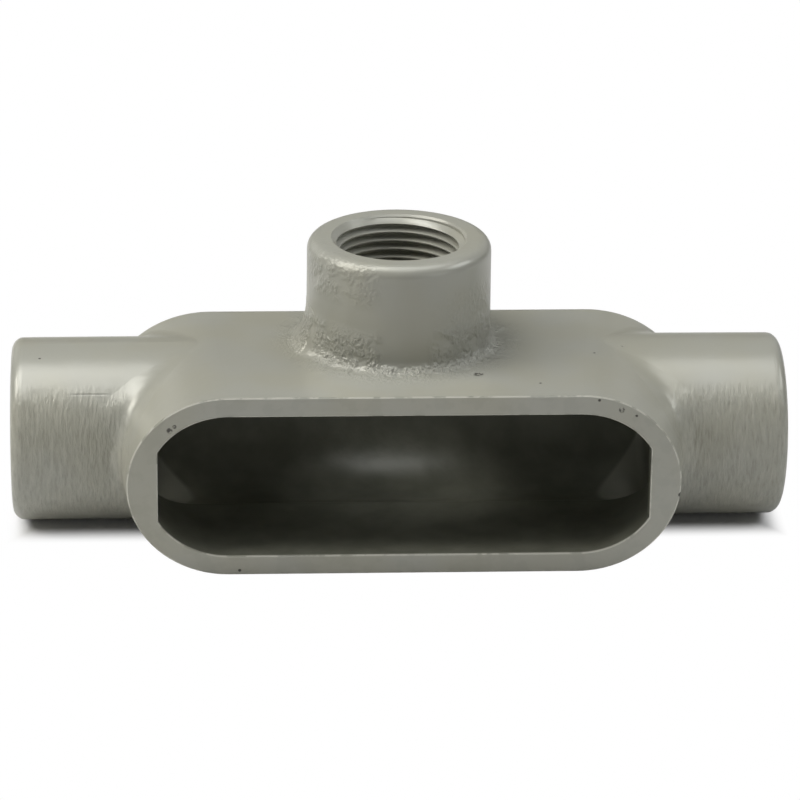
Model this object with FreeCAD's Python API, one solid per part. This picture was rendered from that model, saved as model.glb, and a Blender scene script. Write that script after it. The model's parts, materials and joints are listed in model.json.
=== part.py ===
"""T-shaped cast iron conduit body, 1 inch trade size, one solid casting.

Frame in millimetres: +X runs along the two in-line hubs, +Y goes from the
cover opening into the body, +Z points up along the branch hub. The origin is
on the flat underside, straight below the branch axis.
"""
import FreeCAD, Part
import math
import os

V = FreeCAD.Vector

# Pipe sockets, 1-11.5 NPT
SOCKET_RADIUS = 16.3          # thread root at the mouth
SOCKET_DEPTH = 19.5
MOUTH_CHAMFER = 0.5
BUSHING_STEP = 2.9            # smooth bushing, in from the socket wall
BUSHING_LENGTH = 10.0         # in-line hubs, socket to chamber
BUSHING_EASE = 0.8            # bevel on the socket side of the bushing
BUSHING_LIP = 1.5             # rounding where an in-line bushing opens inside
THROAT_LIP = 1.0              # rounding where the branch bushing opens inside

# Hubs
HUB_WALL = 6.35               # round the socket, at the mouth
HUB_DRAFT = 0.25              # growth of the radius from mouth to run axis
HUB_CORNER = 3.0              # rounding round the mouth of each hub
HUB_REACH = 28.4              # in-line hub mouth to the end of the rim
LEFT_NECK_FILLET = 3.5        # hub to body, -X side
RIGHT_NECK_FILLET = 4.5       # hub to body, +X side
BRANCH_FILLET = 2.8           # branch hub to the top of the body

# Overall sizes
RUN_LENGTH = 191.0            # mouth to mouth of the two in-line hubs
BRANCH_ABOVE_AXIS = 50.0      # run axis to the face of the branch hub
RIM_FROM_AXIS = 38.4          # run axis forward to the machined rim
SIDE_STANDOFF = 0.2           # flat top and underside, beyond the hubs
BACK_STANDOFF = 1.6           # flat back, beyond the hubs

# Ends of the body seen along Y: straight sides closed by half ellipses
RIM_END_STRETCH = 1.5         # half ellipse longer than high, at the rim
BACK_END_STRETCH = 3.5        # the same at the back
LEFT_FLARE = 6.1              # back end beyond the rim end, -X side
RIGHT_FLARE = 8.3             # back end beyond the rim end, +X side
BACK_ROUNDING = 5.5           # edge between the sides and the back

# Chamber
RIM_WALL = 4.95               # width of the machined rim along the sides
CHAMBER_WALL = 3.7            # round back of the chamber to the hub's skin
CHAMBER_CORNER = 4.2          # rounding at the two ends of the round back
LEDGE_REACH = 7.5             # rim end in to the straight end of the opening
LEDGE_THICKNESS = 5.0
RIM_CHAMFER = 0.3

# What follows from them
HALF_RUN = RUN_LENGTH / 2.0
HUB_MOUTH_RADIUS = SOCKET_RADIUS + HUB_WALL
HUB_ROOT_RADIUS = HUB_MOUTH_RADIUS + HUB_DRAFT
HALF_HEIGHT = HUB_ROOT_RADIUS + SIDE_STANDOFF
AXIS_HEIGHT = HALF_HEIGHT
BODY_HEIGHT = 2.0 * HALF_HEIGHT
BACK = HUB_ROOT_RADIUS + BACK_STANDOFF
FRONT = -RIM_FROM_AXIS
RIM_HALF_LENGTH = HALF_RUN - HUB_REACH
LEDGE_HALF_SPAN = RIM_HALF_LENGTH - LEDGE_REACH
BUSHING_RADIUS = SOCKET_RADIUS - BUSHING_STEP
CHAMBER_RADIUS = HUB_ROOT_RADIUS - CHAMBER_WALL
CHAMBER_HALF_LENGTH = HALF_RUN - SOCKET_DEPTH - BUSHING_LENGTH


def body_end(y, flare):
    """Centre distance and reach of a rounded end at depth y."""
    t = (y - FRONT) / (BACK - FRONT)
    half = RIM_HALF_LENGTH + flare * t
    reach = HALF_HEIGHT + RIM_END_STRETCH + (BACK_END_STRETCH - RIM_END_STRETCH) * t
    return half - reach, reach


def half_ellipse(centre, reach, half_height, y, side):
    """Exact half ellipse bulging along +X or -X."""
    w = math.sqrt(0.5)
    tip = centre + reach
    flat = [(centre, half_height), (tip, half_height), (tip, 0.0),
            (tip, -half_height), (centre, -half_height)]
    poles = [V(side * x, y, AXIS_HEIGHT + z) for x, z in flat]
    if side < 0:
        poles.reverse()
    curve = Part.BSplineCurve()
    curve.buildFromPolesMultsKnots(poles, [3, 2, 3], [0.0, 0.5, 1.0],
                                   False, 2, [1.0, w, 1.0, w, 1.0])
    return curve.toShape()


def outline(y, inset, left_flare=LEFT_FLARE, right_flare=RIGHT_FLARE):
    """Closed outline of the body at depth y, drawn inset from its skin."""
    left, left_reach = body_end(y, left_flare)
    right, right_reach = body_end(y, right_flare)
    hh = HALF_HEIGHT - inset
    top = AXIS_HEIGHT + hh
    low = AXIS_HEIGHT - hh
    right_end = half_ellipse(right, right_reach - inset, hh, y, 1)
    left_end = half_ellipse(left, left_reach - inset, hh, y, -1)
    top_edge = Part.makeLine(V(-left, y, top), V(right, y, top))
    low_edge = Part.makeLine(V(right, y, low), V(-left, y, low))
    return Part.Wire([top_edge, right_end, low_edge, left_end])


def inner_outline(y, inset):
    """Outline for the hollow, the same at both ends."""
    flare = min(LEFT_FLARE, RIGHT_FLARE)
    return outline(y, inset, flare, flare)


def loft(wires):
    """Solid ruled through the outlines, its flat sides made true planes."""
    faces = []
    for face in Part.makeLoft(wires, True, True).Faces:
        if face.findPlane() and not isinstance(face.Surface, Part.Plane):
            corners = [v.Point for v in face.OuterWire.OrderedVertexes]
            face = Part.Face(Part.makePolygon(corners + corners[:1]))
        faces.append(face)
    shell = Part.makeShell(faces)
    shell.sewShape()
    return Part.makeSolid(shell)


def edges_on_plane_y(shape, y):
    """Edges whose whole length lies at depth y."""
    found = []
    for edge in shape.Edges:
        box = edge.BoundBox
        if abs(box.YMin - y) < 1e-3 and abs(box.YMax - y) < 1e-3:
            found.append(edge)
    return found


def body_block():
    """Box of the body with flared round ends and a rounded back edge."""
    block = loft([outline(FRONT, RIM_CHAMFER),
                  outline(FRONT + RIM_CHAMFER, 0.0),
                  outline(BACK, 0.0)])
    return block.makeFillet(BACK_ROUNDING, edges_on_plane_y(block, BACK))


def revolve_profile(points, arcs):
    """Solid of revolution about Z from (radius, height) points. An arc is
    given as the index of its first point and the point half way along it."""
    edges = []
    count = len(points)
    for i in range(count):
        a = V(points[i][0], 0, points[i][1])
        b = V(points[(i + 1) % count][0], 0, points[(i + 1) % count][1])
        if i in arcs:
            edges.append(Part.Arc(a, V(arcs[i][0], 0, arcs[i][1]), b).toShape())
        else:
            edges.append(Part.makeLine(a, b))
    face = Part.Face(Part.Wire(edges))
    return face.revolve(V(0, 0, 0), V(0, 0, 1), 360)


def hub_solid(length):
    """Tapered hub with a rounded mouth facing +Z at height length."""
    c = HUB_CORNER
    k = c * (1.0 - math.sqrt(0.5))
    r = HUB_MOUTH_RADIUS
    points = [(0, 0), (HUB_ROOT_RADIUS, 0), (r, length - c), (r - c, length), (0, length)]
    return revolve_profile(points, {2: (r - k, length - k)})


def socket_points(length):
    """Mouth, straight socket wall and the bevel down to the bushing."""
    over = 1.0
    deep = length - SOCKET_DEPTH
    r = SOCKET_RADIUS
    return [(0, length + over),
            (r + MOUTH_CHAMFER + over, length + over),
            (r + MOUTH_CHAMFER, length),
            (r, length - MOUTH_CHAMFER),
            (r, deep),
            (BUSHING_RADIUS + BUSHING_EASE, deep),
            (BUSHING_RADIUS, deep - BUSHING_EASE)]


def run_socket():
    """Socket, bushing and rounded lip of an in-line hub."""
    lip = BUSHING_LIP
    end = CHAMBER_HALF_LENGTH
    k = lip * (1.0 - math.sqrt(0.5))
    points = socket_points(HALF_RUN)
    first = len(points)
    points += [(BUSHING_RADIUS, end + lip), (BUSHING_RADIUS + lip, end),
               (BUSHING_RADIUS + lip, end - 1.0), (0, end - 1.0)]
    return revolve_profile(points, {first: (BUSHING_RADIUS + k, end + k)})


def branch_socket():
    """Socket and bushing of the branch, running on down to the run axis."""
    points = socket_points(BRANCH_ABOVE_AXIS) + [(BUSHING_RADIUS, 0), (0, 0)]
    return revolve_profile(points, {})


def toward(shape, direction):
    """Turn a part drawn along +Z to a hub's direction, on the run axis."""
    turned = shape.copy()
    if direction == "left":
        turned.rotate(V(0, 0, 0), V(0, 1, 0), -90)
    if direction == "right":
        turned.rotate(V(0, 0, 0), V(0, 1, 0), 90)
    turned.translate(V(0, 0, AXIS_HEIGHT))
    return turned


def samples(edge):
    first, last = edge.ParameterRange
    return [edge.valueAt(first + (last - first) * i / 6.0) for i in range(7)]


def face_count(shape, edge):
    return len([f for f in shape.Faces if any(e.isSame(edge) for e in f.Edges)])


def neck_edges(shape, side):
    """Edges where one in-line hub leaves the body."""
    found = []
    limit = HALF_RUN - HUB_CORNER - 1.0
    for edge in shape.Edges:
        pts = samples(edge)
        far = [abs(math.hypot(p.y, p.z - AXIS_HEIGHT) - HUB_ROOT_RADIUS) for p in pts]
        inside = all(20.0 < side * p.x < limit for p in pts)
        if inside and max(far) < 0.3 and face_count(shape, edge) == 2:
            found.append(edge)
    return found


def branch_edges(shape):
    """Edges where the branch hub leaves the body."""
    found = []
    limit = AXIS_HEIGHT + BRANCH_ABOVE_AXIS - HUB_CORNER - 1.0
    for edge in shape.Edges:
        pts = samples(edge)
        far = [abs(math.hypot(p.x, p.y) - HUB_ROOT_RADIUS) for p in pts]
        above = all(AXIS_HEIGHT < p.z < limit for p in pts)
        if above and max(far) < 0.3 and face_count(shape, edge) == 2:
            found.append(edge)
    return found


def throat_edges(shape):
    """Edges where the branch bushing opens into the chamber."""
    found = []
    limit = AXIS_HEIGHT + CHAMBER_RADIUS + 0.5
    for edge in shape.Edges:
        pts = samples(edge)
        far = [abs(math.hypot(p.x, p.y) - BUSHING_RADIUS) for p in pts]
        above = all(AXIS_HEIGHT + 5.0 < p.z < limit for p in pts)
        if above and max(far) < 0.05 and face_count(shape, edge) == 2:
            found.append(edge)
    return found


def outer_form():
    """Body and hubs joined, with the necks blended."""
    shape = body_block()
    for direction in ("left", "right"):
        shape = shape.fuse(toward(hub_solid(HALF_RUN), direction))
    shape = shape.fuse(toward(hub_solid(BRANCH_ABOVE_AXIS), "branch"))
    shape = shape.removeSplitter()
    shape = shape.makeFillet(BRANCH_FILLET, branch_edges(shape))
    shape = shape.makeFillet(LEFT_NECK_FILLET, neck_edges(shape, -1))
    return shape.makeFillet(RIGHT_NECK_FILLET, neck_edges(shape, 1))


def opening():
    """Cover opening between the two ledges, its edge broken by a chamfer."""
    c = RIM_CHAMFER
    back = FRONT + LEDGE_THICKNESS
    throat = loft([inner_outline(FRONT - 1.0, RIM_WALL), inner_outline(back + 0.5, RIM_WALL)])
    window = Part.makeBox(2.0 * LEDGE_HALF_SPAN, (BACK - FRONT), BODY_HEIGHT,
                          V(-LEDGE_HALF_SPAN, FRONT - 5.0, 0))
    lead_in = loft([inner_outline(FRONT - c, RIM_WALL - 2 * c), inner_outline(FRONT + c, RIM_WALL)])
    wide = LEDGE_HALF_SPAN + 2 * c
    near = FRONT - c
    far = FRONT + c
    wedge = Part.Face(Part.makePolygon([V(-wide, near, 0), V(wide, near, 0),
                                        V(LEDGE_HALF_SPAN, far, 0),
                                        V(-LEDGE_HALF_SPAN, far, 0), V(-wide, near, 0)]))
    wedge = wedge.extrude(V(0, 0, BODY_HEIGHT))
    return throat.common(window).fuse(lead_in.common(wedge))


def front_room():
    """Front half of the chamber, behind the ledges."""
    return loft([inner_outline(FRONT + LEDGE_THICKNESS, RIM_WALL), inner_outline(0.0, RIM_WALL)])


def round_back():
    """Round back of the chamber, a drum lying on the run axis."""
    half = CHAMBER_HALF_LENGTH
    corner = min(CHAMBER_CORNER, CHAMBER_RADIUS - BUSHING_RADIUS - BUSHING_LIP - 0.05)
    drum = Part.makeCylinder(CHAMBER_RADIUS, 2.0 * half, V(-half, 0, AXIS_HEIGHT), V(1, 0, 0))
    rims = [e for e in drum.Edges if abs(e.BoundBox.XMax - e.BoundBox.XMin) < 1e-6]
    return drum.makeFillet(corner, rims)


def conduit_body():
    shape = outer_form()
    shape = shape.cut(opening())
    shape = shape.cut(front_room())
    shape = shape.cut(round_back())
    for direction in ("left", "right"):
        shape = shape.cut(toward(run_socket(), direction))
    shape = shape.cut(toward(branch_socket(), "branch")).removeSplitter()
    return shape.makeFillet(THROAT_LIP, throat_edges(shape))


os.makedirs("parts", exist_ok=True)
casting = conduit_body()
if casting.ShapeType != "Solid" and len(casting.Solids) == 1:
    casting = casting.Solids[0]
print("solids", len(casting.Solids), "valid", casting.isValid(), "volume", round(casting.Volume, 1))
casting.exportStep("parts/conduit_body.step")
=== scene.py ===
"""Looks for a cast iron conduit body: satin grey paint over a cast skin, cut
pipe threads in the three hubs, and the fuller shoulders and branch foot that
plain fillets leave out. Metres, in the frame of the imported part: X along the
in-line hubs, -Y out of the cover opening, Z up the branch.
"""

import json
import math
from functools import cached_property

import bmesh
import bpy
import numpy as np
from mathutils import Matrix, Vector


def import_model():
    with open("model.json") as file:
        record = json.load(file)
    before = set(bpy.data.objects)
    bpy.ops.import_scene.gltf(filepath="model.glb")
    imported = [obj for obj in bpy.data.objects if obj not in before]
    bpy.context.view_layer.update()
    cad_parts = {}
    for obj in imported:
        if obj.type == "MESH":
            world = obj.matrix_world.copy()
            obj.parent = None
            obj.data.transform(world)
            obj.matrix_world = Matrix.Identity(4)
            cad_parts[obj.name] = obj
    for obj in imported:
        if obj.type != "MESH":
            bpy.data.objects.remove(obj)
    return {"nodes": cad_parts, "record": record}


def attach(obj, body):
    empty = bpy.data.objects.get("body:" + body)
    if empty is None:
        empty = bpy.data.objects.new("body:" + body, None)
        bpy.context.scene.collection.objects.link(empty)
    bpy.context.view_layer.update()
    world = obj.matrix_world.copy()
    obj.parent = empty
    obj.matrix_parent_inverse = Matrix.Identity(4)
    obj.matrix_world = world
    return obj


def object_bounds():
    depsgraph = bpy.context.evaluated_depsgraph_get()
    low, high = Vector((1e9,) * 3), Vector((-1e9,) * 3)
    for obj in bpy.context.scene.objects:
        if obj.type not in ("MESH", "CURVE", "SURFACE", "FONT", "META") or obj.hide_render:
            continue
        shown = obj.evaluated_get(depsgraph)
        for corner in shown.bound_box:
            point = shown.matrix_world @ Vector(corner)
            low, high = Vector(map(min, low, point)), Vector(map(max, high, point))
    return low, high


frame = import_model()
CAD_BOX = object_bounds()
MM = 0.001

# Threaded hubs, as the record states them
MOUNTS = {m["name"]: m for m in frame["record"]["mounts"]}
HUBS = ("left_hub", "right_hub", "branch_hub")
MOUNT_DEPTH = 1.0 * MM        # a mount's point lies this far inside the mouth
AXIS_HEIGHT = MOUNTS["left_hub"]["pos_m"][2]

# The casting in millimetres from the run axis
HALF_RUN = 0.5 * (CAD_BOX[1][0] - CAD_BOX[0][0]) / MM
HALF_HEIGHT = AXIS_HEIGHT / MM                 # flat top and underside of the body
RIM = MOUNTS["cover_seat"]["pos_m"][1] / MM    # depth of the machined rim

# 1-11.5 NPT thread
PITCH = 25.4 / 11.5 * MM
THREAD_HEIGHT = 0.69 * PITCH
TAPER = 1.0 / 32.0            # of the radius, over the depth
THREAD_START = 0.5 * MM
THREAD_END = 19.4 * MM
COUNTERSINK = 0.5 * MM        # the mouth is this much wider than the thread
SLEEVE_WALL = 0.4 * MM        # of the thread piece, sunk in the hub
SKIN = 0.05 * MM              # the thread's root stands this far off the hub
TURN_STEPS = 160

# Camera, in front of the opening, a little to the left and above
CAMERA_AIM = Vector((0.0, 0.0, AXIS_HEIGHT))
CAMERA_DISTANCE = 1.048968
CAMERA_AZIMUTH = math.radians(-3.252)
CAMERA_ELEVATION = math.radians(22.046)
CAMERA_ROLL = math.radians(0.782)
CAMERA_SLIDE = (0.0008, 0.006314)
CAMERA_LENS = 188.96


# ---------------------------------------------------------------- materials

class Nodes:
    """Short way to build one material's node tree."""

    def __init__(self, name):
        self.material = bpy.data.materials.new(name)
        self.material.use_nodes = True
        self.tree = self.material.node_tree
        self.tree.nodes.clear()
        self.output = self.tree.nodes.new("ShaderNodeOutputMaterial")

    def add(self, kind, inputs=(), **settings):
        made = self.tree.nodes.new("ShaderNode" + kind)
        for name, value in settings.items():
            setattr(made, name, value)
        for name, value in dict(inputs).items():
            self.put(made.inputs[name], value)
        return made

    def put(self, socket, value):
        if isinstance(value, bpy.types.NodeSocket):
            self.tree.links.new(value, socket)
        else:
            socket.default_value = value

    def math(self, operation, a, b=0.0):
        made = self.add("Math", operation=operation)
        self.put(made.inputs[0], a)
        self.put(made.inputs[1], b)
        return made.outputs[0]

    def ramp(self, value, low, high):
        """0 below low and 1 above high, smooth between; low may be above high."""
        made = self.add("MapRange", interpolation_type="SMOOTHSTEP")
        self.put(made.inputs["Value"], value)
        self.put(made.inputs["From Min"], low)
        self.put(made.inputs["From Max"], high)
        return made.outputs["Result"]

    def place(self, stretch=(1, 1, 1)):
        """The point on the object in metres, scaled along each axis."""
        where = self.add("TexCoord").outputs["Object"]
        made = self.add("VectorMath", operation="MULTIPLY")
        self.put(made.inputs[0], where)
        made.inputs[1].default_value = stretch
        return made.outputs[0]

    def noise(self, size_mm, detail=2.0, stretch=(1, 1, 1), rough=0.5):
        made = self.add("TexNoise")
        self.put(made.inputs["Vector"], self.place(stretch))
        made.inputs["Scale"].default_value = 1000.0 / size_mm
        made.inputs["Detail"].default_value = detail
        made.inputs["Roughness"].default_value = rough
        return made.outputs["Fac"]

    def part(self, vector, axis):
        return self.add("SeparateXYZ", {0: vector}).outputs["XYZ".index(axis)]

    def times(self, *values):
        total = values[0]
        for value in values[1:]:
            total = self.math("MULTIPLY", total, value)
        return total

    def plus(self, *values):
        total = values[0]
        for value in values[1:]:
            total = self.math("ADD", total, value)
        return total

    def between(self, value, low, high, soft):
        """1 between low and high, going down to 0 over the width soft."""
        return self.times(self.ramp(value, low - soft, low), self.ramp(value, high + soft, high))

    def length(self, a, b):
        return self.math("SQRT", self.plus(self.times(a, a), self.times(b, b)))

    def mix(self, share, first, second):
        made = self.add("MixRGB")
        self.put(made.inputs["Fac"], share)
        self.put(made.inputs["Color1"], first)
        self.put(made.inputs["Color2"], second)
        return made.outputs[0]


END_CENTRE = 42.5             # of the half ellipse that ends the body, at the rim
END_REACH = 24.6
WITHIN_BACK = 21.0            # between the chamber and the casting's flat back
WITHIN_HUB = 18.5             # between a socket's wall and the hub's skin
SOCKET_FLOOR = 76.0           # where a socket ends and its bushing begins


class Where:
    """Places on the casting as masks, in millimetres from the run axis. Each
    mask's nodes are made once, when it is first asked for."""

    def __init__(self, n):
        self.n = n
        spot = n.place((1000.0, 1000.0, 1000.0))
        self.x = n.part(spot, "X")
        self.y = n.part(spot, "Y")
        self.z = n.math("SUBTRACT", n.part(spot, "Z"), HALF_HEIGHT)
        self.side = n.math("ABSOLUTE", self.x)

    @cached_property
    def inside(self):
        """The chamber, behind the rim and within the walls, and the bushings.
        Its outline is a share of the body's own, straight with round ends."""
        n = self.n
        out = n.math("MAXIMUM", n.math("SUBTRACT", self.side, END_CENTRE), 0.0)
        reach = n.length(n.math("DIVIDE", out, END_REACH), n.math("DIVIDE", self.z, HALF_HEIGHT))
        behind = n.ramp(self.y, RIM + 0.25, RIM + 0.8)
        short_of_back = n.ramp(self.y, WITHIN_BACK + 0.5, WITHIN_BACK)
        chamber = n.times(n.ramp(reach, 0.93, 0.88), behind, short_of_back)
        off_run = n.length(self.y, self.z)
        bushing = n.times(n.ramp(off_run, WITHIN_HUB + 1.0, WITHIN_HUB),
                          n.ramp(self.side, SOCKET_FLOOR, SOCKET_FLOOR - 3.0))
        return n.math("MAXIMUM", chamber, bushing)

    @cached_property
    def hub_fronts(self):
        """Front and lower skin of the two in-line hubs."""
        n = self.n
        return n.times(n.ramp(self.side, 64.5, 69.0), n.ramp(self.y, -13.5, -18.5))

    @cached_property
    def branch_skin(self):
        """Foot of the branch and the rough patches further up it."""
        n = self.n
        off_axis = n.length(self.x, self.y)
        near = n.ramp(off_axis, 33.0, 24.0)
        foot = n.between(self.z, 21.0, 29.5, 5.0)
        smooth_band = n.between(self.x, -4.0, 5.5, 3.0)
        front = n.ramp(self.y, 4.0, -6.0)
        smooth = n.times(smooth_band, n.ramp(self.z, HALF_HEIGHT + 1.1, HALF_HEIGHT + 2.5))
        foot = n.times(foot, n.math("SUBTRACT", 1.0, smooth))
        left = n.times(n.between(self.x, -19.0, -10.0, 7.0), n.between(self.z, 43.0, 46.5, 5.0))
        right = n.times(n.ramp(self.x, 4.0, 13.0), n.between(self.z, 31.0, 40.0, 6.0))
        patches = n.times(n.plus(n.times(left, 0.7), n.times(right, 0.35)), front)
        broken = n.ramp(n.noise(5.0, 2.0), 0.30, 0.55)
        return n.times(near, broken, n.math("MINIMUM", n.plus(foot, patches), 1.0))

    @cached_property
    def rim(self):
        return self.n.ramp(self.y, RIM + 0.3, RIM + 0.1)

    @cached_property
    def rim_edge(self):
        """Bevel at the rim's outer edge, and the same depth at the inner one, where a painted
        highlight goes.
        """
        return self.n.between(self.y, RIM + 0.04, RIM + 0.35, 0.05)

    def spot(self, x, y, z, radius):
        n = self.n
        gap = n.length(n.length(n.math("SUBTRACT", self.x, x), n.math("SUBTRACT", self.y, y)),
                       n.math("SUBTRACT", self.z, z))
        return n.ramp(gap, radius, 0.55 * radius)

    @cached_property
    def casting_mark(self):
        """Short level groove in the skin of the left hub, with painted shade along it."""
        n = self.n
        line = n.between(self.z, 15.45, 15.6, 0.2)
        return n.times(line, n.between(self.x, -79.0, -73.0, 3.0), n.ramp(self.y, -12.0, -14.0))


# Chips and specks in the paint: x, y, z in millimetres from the run axis, radius
CHIPS = (
    (-56.6, RIM, 14.9, 0.9),
    (-55.4, RIM, 15.9, 0.6),
    (46.5, RIM, 21.9, 0.45),
    (52.0, RIM, 19.4, 0.9),
    (55.6, RIM, 17.8, 0.4),
    (67.0, RIM + 0.1, -3.0, 0.8),
    (-39.9, RIM, -21.9, 0.5),
    (-88.3, -7.3, 21.7, 0.5),
    (18.4, -24.0, HALF_HEIGHT, 1.5),
    (48.0, -10.0, HALF_HEIGHT, 0.5),
    (55.5, -4.0, HALF_HEIGHT - 0.5, 0.45),
    (33.0, -30.0, HALF_HEIGHT, 0.4),
)

# Colours of the paint, and of the highlight and shade painted into it
GREY_WARM, GREY_COOL = (0.365, 0.360, 0.300, 1), (0.370, 0.370, 0.323, 1)
GRAIN_DARK = (0.24, 0.235, 0.19, 1)
# Painted highlight and painted shade for the wrinkles on the hub fronts
STREAK_HIGHLIGHT, STREAK_SHADE = (0.52, 0.51, 0.44, 1), (0.21, 0.205, 0.165, 1)
# Painted shade for the groove on the left hub
GROOVE_SHADE = (0.12, 0.12, 0.11, 1)
# Painted highlight along the rim's bevel
EDGE_HIGHLIGHT = (0.60, 0.59, 0.52, 1)
BARE_IRON = (0.07, 0.066, 0.055, 1)
# Painted shade for the chamber, in two tones mixed by noise
CHAMBER_SHADE_DARK, CHAMBER_SHADE_LIGHT = (0.150, 0.152, 0.118, 1), (0.190, 0.192, 0.152, 1)


def paint_colour(n, at, grain, streaks, chips):
    """Cloudy grey, with streaks lit and shaded in the colour, a painted highlight along the rim's
    bevel, painted shade along the groove on the left hub, chips, and painted shade darkening the
    chamber.
    """
    colour = n.mix(n.ramp(n.noise(22.0, 2.0), 0.35, 0.65), GREY_WARM, GREY_COOL)
    colour = n.mix(n.times(at.branch_skin, n.ramp(grain, 0.42, 0.28), 0.35), colour, GRAIN_DARK)
    # painted highlight on the wrinkles' ridges and painted shade in their hollows, over the relief
    # from the same noise
    colour = n.mix(n.times(at.hub_fronts, n.ramp(streaks, 0.50, 0.68), 0.30), colour, STREAK_HIGHLIGHT)
    colour = n.mix(n.times(at.hub_fronts, n.ramp(streaks, 0.50, 0.32), 0.32), colour, STREAK_SHADE)
    # painted shade along the groove on the left hub
    colour = n.mix(n.times(at.casting_mark, 0.22), colour, GROOVE_SHADE)
    # painted highlight along the rim's bevel, broken up by noise
    rim_highlight = n.times(at.rim_edge, n.ramp(n.noise(4.0, 3.0), 0.40, 0.52))
    colour = n.mix(n.times(rim_highlight, 0.8), colour, EDGE_HIGHLIGHT)
    ragged = n.ramp(n.noise(0.9, 2.0), 0.38, 0.55)
    colour = n.mix(n.times(chips, ragged), colour, BARE_IRON)
    # painted shade darkening the chamber and the bushings
    chamber_shade = n.mix(n.ramp(n.noise(7.0, 3.0), 0.3, 0.7), CHAMBER_SHADE_DARK, CHAMBER_SHADE_LIGHT)
    return n.mix(at.inside, colour, chamber_shade)


def paint_relief(n, at, streaks, chips):
    """Height of the skin in millimetres. The machined rim has little of it."""
    peel = n.times(n.noise(1.3, 2.0), 0.016)
    swell = n.times(n.noise(8.0, 2.0), 0.10)
    quiet = n.math("SUBTRACT", 1.0, n.times(at.rim, 0.8))
    wrinkles = n.times(streaks, at.hub_fronts, 0.38)
    pits = n.times(n.noise(0.85, 2.0, (1.0, 1.0, 0.8), 0.5), at.branch_skin, 0.8)
    mark = n.times(at.casting_mark, -0.05)
    rough_chamber = n.times(at.inside, n.noise(2.2, 3.0), 0.06)
    return n.plus(n.times(n.plus(peel, swell), quiet), wrinkles, pits, mark,
                  n.times(chips, -0.12), rough_chamber)


def paint():
    """Satin grey enamel over cast iron, rougher in the chamber, where painted shade darkens it."""
    n = Nodes("grey_enamel")
    at = Where(n)
    grain = n.noise(1.6, 3.0)
    streaks = n.noise(0.7, 3.0, (1.0, 0.2, 0.2), 0.6)
    chips = 0.0
    for x, y, z, radius in CHIPS:
        chips = n.math("MAXIMUM", at.spot(x, y, z, radius), chips)

    shader = n.add("BsdfPrincipled")
    n.put(n.output.inputs["Surface"], shader.outputs[0])
    n.put(shader.inputs["Base Color"], paint_colour(n, at, grain, streaks, chips))
    shader.inputs["Metallic"].default_value = 0.12
    duller = n.plus(n.times(at.branch_skin, 0.06), n.times(grain, 0.04),
                    n.times(at.hub_fronts, 0.05), n.times(at.inside, 0.04))
    n.put(shader.inputs["Roughness"], n.plus(0.27, duller))

    bump = n.add("Bump")
    bump.inputs["Strength"].default_value = 1.0
    bump.inputs["Distance"].default_value = MM
    n.put(bump.inputs["Height"], paint_relief(n, at, streaks, chips))
    n.put(shader.inputs["Normal"], bump.outputs[0])
    return n.material


# ------------------------------------------------------------------- thread

CREST = 0.10                  # flats at crest and root, in shares of a pitch
FLANK = 0.5 - CREST


def ridge_height(share):
    """Height of the thread above its root, from 0 to 1, along one pitch."""
    return np.interp(share, [0.0, CREST, 0.5, 0.5 + CREST, 1.0], [0.0, 0.0, 1.0, 1.0, 0.0])


def thread_radius(depth, turn, root):
    """Radius of the cut thread at a depth, a share of a turn round the hub."""
    height = ridge_height(np.mod(depth / PITCH - turn, 1.0))
    ridge = root - SKIN - TAPER * depth - THREAD_HEIGHT * height
    return np.maximum(ridge, root + COUNTERSINK - depth)


def thread_mesh(name, root):
    """A sleeve on the Z axis, its mouth at zero and facing +Z, threaded
    inside. Each row of points runs once round and ends one pitch deeper."""
    shares = [0.0, CREST, CREST + 0.5 * FLANK, 0.5, 0.5 + CREST, 0.5 + CREST + 0.5 * FLANK]
    pitches = range(-1, int(THREAD_END / PITCH) + 2)
    starts = np.array([p + s for p in pitches for s in shares])
    turn = np.arange(TURN_STEPS) / TURN_STEPS
    angle = -2.0 * math.pi * turn
    rows = []
    for start in starts:
        depth = np.clip((start + turn) * PITCH, THREAD_START, THREAD_END)
        rows.append((thread_radius(depth, turn, root), depth))
    outer = np.full(TURN_STEPS, root + SLEEVE_WALL)
    rows.append((outer, np.full(TURN_STEPS, THREAD_END)))
    rows.append((outer, np.full(TURN_STEPS, THREAD_START)))

    made = bmesh.new()
    grid = [[made.verts.new((r * math.cos(a), r * math.sin(a), -d))
             for r, d, a in zip(radius, depth, angle)] for radius, depth in rows]
    last = len(starts) - 1
    for i in range(last):
        after = min(i + len(shares), last - 1)
        near = grid[i] + [grid[after][0]]
        far = grid[i + 1] + [grid[after + 1][0]]
        for j in range(TURN_STEPS):
            made.faces.new((near[j], near[j + 1], far[j + 1], far[j]))
    for ring, other in ((last, last + 1), (last + 1, last + 2), (last + 2, 0)):
        for j in range(TURN_STEPS):
            k = (j + 1) % TURN_STEPS
            made.faces.new((grid[ring][j], grid[ring][k], grid[other][k], grid[other][j]))
    bmesh.ops.remove_doubles(made, verts=made.verts, dist=0.002 * MM)
    bmesh.ops.recalc_face_normals(made, faces=made.faces)
    mesh = bpy.data.meshes.new(name)
    made.to_mesh(mesh)
    made.free()
    mesh.shade_smooth()
    mesh.set_sharp_from_angle(angle=math.radians(25))
    return mesh


def threads(material):
    for name in HUBS:
        mount = MOUNTS[name]
        axis = Vector(mount["axis"])
        mesh = thread_mesh(name + "_thread", mount["dims"]["r_mm"] * MM)
        mesh.materials.append(material)
        made = bpy.data.objects.new(name + "_thread", mesh)
        mouth = Vector(mount["pos_m"]) + MOUNT_DEPTH * axis
        turned = axis.to_track_quat("Z", "Y").to_matrix().to_4x4()
        made.matrix_world = Matrix.Translation(mouth) @ turned
        bpy.context.scene.collection.objects.link(made)
        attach(made, "root")


# ------------------------------------------------------------------- blends

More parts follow.
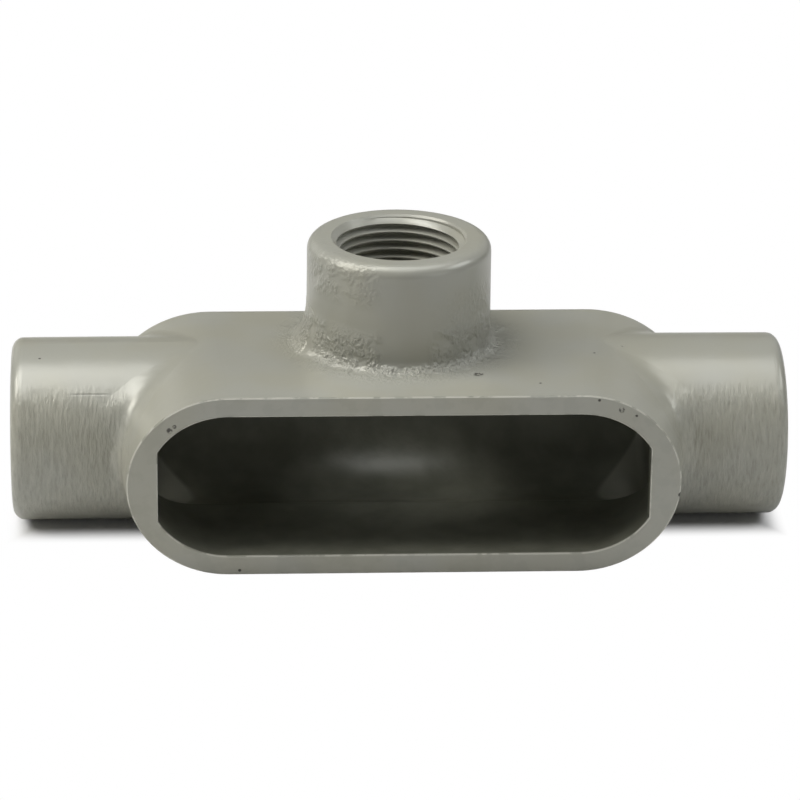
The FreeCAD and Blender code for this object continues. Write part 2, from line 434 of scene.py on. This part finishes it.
# Where each hub leaves the body the casting is fuller than plain fillets
# make it. Sizes in millimetres from the run axis.
ENDS = (("left_shoulder", -1.0), ("right_shoulder", 1.0))
BLEND_BALL = 13.0             # radius of the ball that would roll in the shoulder
BLEND_STEP = 0.5
BLEND_WALL = 1.2              # of a blend piece, sunk in the casting
BLEND_SINK = 0.06             # its edge lies this far under the casting's skin
SHOULDER_FROM, SHOULDER_TO = 34.0, 94.5
SHOULDER_FRONT, SHOULDER_BACK = -37.0, 22.0
FILL_NONE, FILL_WHOLE = 5.0, 17.0       # heights between which the fill grows
BACK_NONE, BACK_WHOLE = 19.5, 13.0      # the same, as depths towards the back
FILL_MOST = 20.0
FILL_LEAST = 0.012            # a cell with less is left out
SKIN_LEAST = 3.0              # so is one whose skin lies lower than this
NO_SKIN = -1e3                # where no skin is met


def smooth_share(value, low, high):
    share = np.clip((value - low) / (high - low), 0.0, 1.0)
    return share * share * (3.0 - 2.0 * share)


def skin_height(casting, x, y):
    """Height of the casting's upper skin over the run axis, in millimetres."""
    back = casting.matrix_world.inverted()
    down = (back.to_3x3() @ Vector((0.0, 0.0, -1.0))).normalized()
    heights = np.full(x.shape, NO_SKIN)
    for key in np.ndindex(x.shape):
        start = back @ Vector((x[key] * MM, y[key] * MM, 1.0))
        hit, spot, _, _ = casting.ray_cast(start, down)
        if hit:
            heights[key] = ((casting.matrix_world @ spot).z - AXIS_HEIGHT) / MM
    return heights


def slid(field, i, j, fill):
    """The field moved by whole steps, with fill where nothing moves in."""
    moved = np.full_like(field, fill)
    rows, columns = field.shape
    moved[max(i, 0):rows + min(i, 0), max(j, 0):columns + min(j, 0)] = \
        field[max(-i, 0):rows + min(-i, 0), max(-j, 0):columns + min(-j, 0)]
    return moved


def rolled(height, radius):
    """Height after a ball has rolled over it: hollows too tight for the ball
    are filled up to where it touches."""
    steps = int(radius / BLEND_STEP)
    caps = []
    for i in range(-steps, steps + 1):
        for j in range(-steps, steps + 1):
            gap = radius ** 2 - BLEND_STEP ** 2 * (i * i + j * j)
            if gap >= 0.0:
                caps.append((i, j, math.sqrt(gap)))
    centre = np.full_like(height, NO_SKIN)
    for i, j, cap in caps:
        centre = np.maximum(centre, slid(height, i, j, NO_SKIN) + cap)
    under = np.full_like(height, -NO_SKIN)
    for i, j, cap in caps:
        under = np.minimum(under, slid(centre, i, j, -NO_SKIN) - cap)
    return under


def softened(field):
    """Mean with the neighbours, each way."""
    field = (slid(field, 1, 0, 0.0) + 2.0 * field + slid(field, -1, 0, 0.0)) / 4.0
    return (slid(field, 0, 1, 0.0) + 2.0 * field + slid(field, 0, -1, 0.0)) / 4.0


def cell_corners(points):
    """What holds at each of the four corners of every cell."""
    return [slid(points, -i, -j, False) for i in (0, 1) for j in (0, 1)]


def closed_sheet(made, x, y, z, keep, level):
    """Adds the kept cells of a height field as a closed slab of even wall."""
    tops, lows = {}, {}
    edges = {}
    for i, j in zip(*np.nonzero(keep)):
        ring = [(i, j), (i + 1, j), (i + 1, j + 1), (i, j + 1)]
        for key in ring:
            if key not in tops:
                for store, drop in ((tops, 0.0), (lows, BLEND_WALL)):
                    point = Vector((x[key], y[key], level * (z[key] - drop))) * MM
                    point.z += AXIS_HEIGHT
                    store[key] = made.verts.new(point)
        made.faces.new([tops[key] for key in ring])
        made.faces.new([lows[key] for key in reversed(ring)])
        for k in range(4):
            edge = (ring[k], ring[(k + 1) % 4])
            if edge[::-1] in edges:
                del edges[edge[::-1]]
            else:
                edges[edge] = True
    for first, second in edges:
        made.faces.new([tops[second], tops[first], lows[first], lows[second]])


def finish_blend(name, made, material):
    bmesh.ops.recalc_face_normals(made, faces=made.faces)
    mesh = bpy.data.meshes.new(name)
    made.to_mesh(mesh)
    made.free()
    mesh.shade_smooth()
    mesh.set_sharp_from_angle(angle=math.radians(40))
    mesh.materials.append(material)
    piece = bpy.data.objects.new(name, mesh)
    bpy.context.scene.collection.objects.link(piece)
    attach(piece, "root")


def shoulder_blend(name, side, casting, material):
    """Fills the crease between the top of an in-line hub and the body's
    rounded end, above and below."""
    x, y = np.meshgrid(np.arange(SHOULDER_FROM, SHOULDER_TO, BLEND_STEP),
                       np.arange(SHOULDER_FRONT, SHOULDER_BACK, BLEND_STEP), indexing="ij")
    skin = skin_height(casting, side * x, y)
    share = smooth_share(skin, FILL_NONE, FILL_WHOLE) * smooth_share(y, BACK_NONE, BACK_WHOLE)
    fill = np.clip(rolled(skin, BLEND_BALL) - skin, 0.0, FILL_MOST) * share
    fill = softened(softened(softened(fill)))
    keep = np.logical_or.reduce(cell_corners(fill > FILL_LEAST))
    keep &= np.logical_and.reduce(cell_corners(skin > SKIN_LEAST))
    made = bmesh.new()
    for level in (1.0, -1.0):
        closed_sheet(made, side * x, y, skin + fill - BLEND_SINK, keep, level)
    finish_blend(name, made, material)


BRANCH_RADIUS = 22.76         # where the branch meets the body
FOOT_WIDTH = 5.0              # of the fuller foot, on the -X side
FOOT_HEIGHT = 11.0
FOOT_HIDDEN = 2.3             # width and height under the casting's own fillet
FOOT_TURN = math.radians(52)  # each way from -X
FOOT_STEPS, FOOT_ARC = 64, 16
FOOT_ROOT = 1.5               # how far the foot goes into the branch
FOOT_BASE = 1.0               # and into the body
FOOT_SINK = 0.02              # its curve ends this far under the skin


def foot_section(full):
    """Outline of the foot as distances from the branch's axis and heights over
    the body: a hollow quarter of an ellipse, closed inside the casting."""
    wide = FOOT_HIDDEN + (FOOT_WIDTH - FOOT_HIDDEN) * full
    high = FOOT_HIDDEN + (FOOT_HEIGHT - FOOT_HIDDEN) * full
    section = []
    for k in range(FOOT_ARC + 1):
        bend = 0.5 * math.pi * k / FOOT_ARC
        section.append((BRANCH_RADIUS + wide * (1.0 - math.sin(bend)),
                        high * (1.0 - math.cos(bend)) - FOOT_SINK))
    return section + [(BRANCH_RADIUS - FOOT_ROOT, high),
                      (BRANCH_RADIUS - FOOT_ROOT, -FOOT_BASE),
                      (BRANCH_RADIUS + wide, -FOOT_BASE)]


def branch_foot(material):
    """Fuller foot of the branch hub on its -X side, which fades out both ways."""
    made = bmesh.new()
    rings = []
    for i in range(FOOT_STEPS + 1):
        turn = FOOT_TURN * (2.0 * i / FOOT_STEPS - 1.0)
        full = float(smooth_share(abs(turn) / FOOT_TURN, 1.0, 0.25))
        ring = []
        for out, up in foot_section(full):
            point = Vector((-out * math.cos(turn), -out * math.sin(turn), HALF_HEIGHT + up)) * MM
            point.z += AXIS_HEIGHT
            ring.append(made.verts.new(point))
        rings.append(ring)
    count = len(rings[0])
    for near, far in zip(rings, rings[1:]):
        for k in range(count):
            m = (k + 1) % count
            made.faces.new((near[k], near[m], far[m], far[k]))
    made.faces.new(rings[0])
    made.faces.new(list(reversed(rings[-1])))
    finish_blend("branch_foot", made, material)


def blends(casting, material):
    for name, side in ENDS:
        shoulder_blend(name, side, casting, material)
    branch_foot(material)


# -------------------------------------------------------------------- stage

LAMP_AIM = Vector((0.0, 0.0, 0.03))

# Shadow on the floor, half widths in millimetres: whole within the first
# and none beyond the second, and the same past the ends of the run
SHADOW_CORE, SHADOW_EDGE = 9.0, 19.0
SHADOW_END_CORE, SHADOW_END = HALF_RUN - 5.0, HALF_RUN + 2.0
FLOOR_REACH = 4.0


def direction(azimuth, elevation):
    """Unit vector out from the object, azimuth from the front toward +X."""
    return Vector((math.sin(azimuth) * math.cos(elevation),
                   -math.cos(azimuth) * math.cos(elevation),
                   math.sin(elevation)))


def lamp(name, place, size, power, colour):
    data = bpy.data.lights.new(name, "AREA")
    data.shape = "RECTANGLE"
    data.size, data.size_y = size
    data.energy = power
    data.color = colour
    made = bpy.data.objects.new(name, data)
    made.location = place
    made.rotation_euler = (LAMP_AIM - place).to_track_quat("-Z", "Y").to_euler()
    bpy.context.scene.collection.objects.link(made)


# Name, azimuth from the front toward +X and elevation in degrees, distance,
# width and height in metres, radiance with white at 1, colour
LAMPS = (
    ("overhead", 180.0, 87.0, 1.0, 1.1, 0.62, 2.4, (0.97, 0.98, 1.0)),
    ("overhead_front", 0.0, 68.0, 1.1, 0.7, 0.3, 1.3, (1, 1, 1)),
    ("left_high", -90.0, 62.0, 1.1, 0.5, 0.8, 4.4, (1.0, 0.98, 0.94)),
    ("left_key", -90.0, 38.0, 1.1, 0.5, 0.4, 5.9, (1.0, 0.98, 0.93)),
    ("right_key", 90.0, 38.0, 1.1, 0.5, 0.4, 4.2, (0.96, 0.98, 1.0)),
    ("front_left", -45.0, 12.0, 1.1, 0.5, 0.4, 1.1, (1, 1, 1)),
    ("front_right", 45.0, 12.0, 1.1, 0.5, 0.4, 1.2, (1, 1, 1)),
    ("backdrop_left", -144.0, 17.0, 1.8, 1.0, 0.8, 0.5, (1, 1, 1)),
    ("backdrop_right", 144.0, 17.0, 1.8, 1.0, 0.8, 0.3, (1, 1, 1)),
)


def lights():
    for name, azimuth, elevation, distance, width, height, radiance, colour in LAMPS:
        turn, lift = math.radians(azimuth), math.radians(elevation)
        power = radiance * math.pi * width * height
        lamp(name, LAMP_AIM + distance * direction(turn, lift), (width, height), power, colour)


def world():
    """Dim all round, and plain white where the camera looks past the object."""
    studio = bpy.data.worlds.new("studio")
    bpy.context.scene.world = studio
    studio.use_nodes = True
    tree = studio.node_tree
    tree.nodes.clear()
    out = tree.nodes.new("ShaderNodeOutputWorld")
    mix = tree.nodes.new("ShaderNodeMixShader")
    lit = tree.nodes.new("ShaderNodeBackground")
    seen = tree.nodes.new("ShaderNodeBackground")
    path = tree.nodes.new("ShaderNodeLightPath")
    lit.inputs["Color"].default_value = (0.9, 0.95, 1.0, 1)
    lit.inputs["Strength"].default_value = 0.03
    seen.inputs["Strength"].default_value = 1.0
    seen.inputs["Color"].default_value = (1, 1, 1, 1)
    tree.links.new(path.outputs["Is Camera Ray"], mix.inputs[0])
    tree.links.new(lit.outputs[0], mix.inputs[1])
    tree.links.new(seen.outputs[0], mix.inputs[2])
    tree.links.new(mix.outputs[0], out.inputs[0])


def floor_material():
    """White floor that keeps the shadow below the run of the object and is
    plain white further out, where only the camera sees it."""
    n = Nodes("white_floor")
    camera_ray = n.add("LightPath").outputs["Is Camera Ray"]
    colour = n.mix(camera_ray, (0.7, 0.7, 0.7, 1), (0.9, 0.9, 0.9, 1))
    diffuse = n.add("BsdfDiffuse", {"Color": colour})
    white = n.add("Emission", {"Color": (1, 1, 1, 1), "Strength": 1.0})
    spot = n.place((1000.0, 1000.0, 1000.0))
    off_run = n.math("ABSOLUTE", n.part(spot, "Y"))
    beyond = n.math("ABSOLUTE", n.part(spot, "X"))
    far = n.math("MAXIMUM", n.ramp(off_run, SHADOW_CORE, SHADOW_EDGE),
                 n.ramp(beyond, SHADOW_END_CORE, SHADOW_END))
    mix = n.add("MixShader", {0: n.times(far, camera_ray)})
    n.put(mix.inputs[1], diffuse.outputs[0])
    n.put(mix.inputs[2], white.outputs[0])
    n.put(n.output.inputs["Surface"], mix.outputs[0])
    return n.material


def floor():
    mesh = bpy.data.meshes.new("floor")
    r = FLOOR_REACH
    mesh.from_pydata([(-r, -r, 0), (r, -r, 0), (r, r, 0), (-r, r, 0)], [], [(0, 1, 2, 3)])
    mesh.materials.append(floor_material())
    made = bpy.data.objects.new("floor", mesh)
    bpy.context.scene.collection.objects.link(made)


def camera():
    away = direction(CAMERA_AZIMUTH, CAMERA_ELEVATION)
    level = (-away).cross(Vector((0, 0, 1))).normalized()
    upright = level.cross(-away)
    c, s = math.cos(CAMERA_ROLL), math.sin(CAMERA_ROLL)
    right = c * level + s * upright
    up = c * upright - s * level
    place = (CAMERA_AIM + away * CAMERA_DISTANCE
             + right * CAMERA_SLIDE[0] + up * CAMERA_SLIDE[1])
    data = bpy.data.cameras.new("camera")
    data.lens = CAMERA_LENS
    data.sensor_width = 36.0
    data.clip_end = 20.0
    made = bpy.data.objects.new("camera", data)
    turned = Matrix((right, up, away)).transposed().to_4x4()
    made.matrix_world = Matrix.Translation(place) @ turned
    bpy.context.scene.collection.objects.link(made)
    bpy.context.scene.camera = made


enamel = paint()
body = frame["nodes"]["conduit_body"]
body.data.materials.clear()
body.data.materials.append(enamel)
threads(enamel)
blends(body, enamel)
floor()
world()
lights()
camera()
bpy.context.scene.view_settings.view_transform = "Standard"
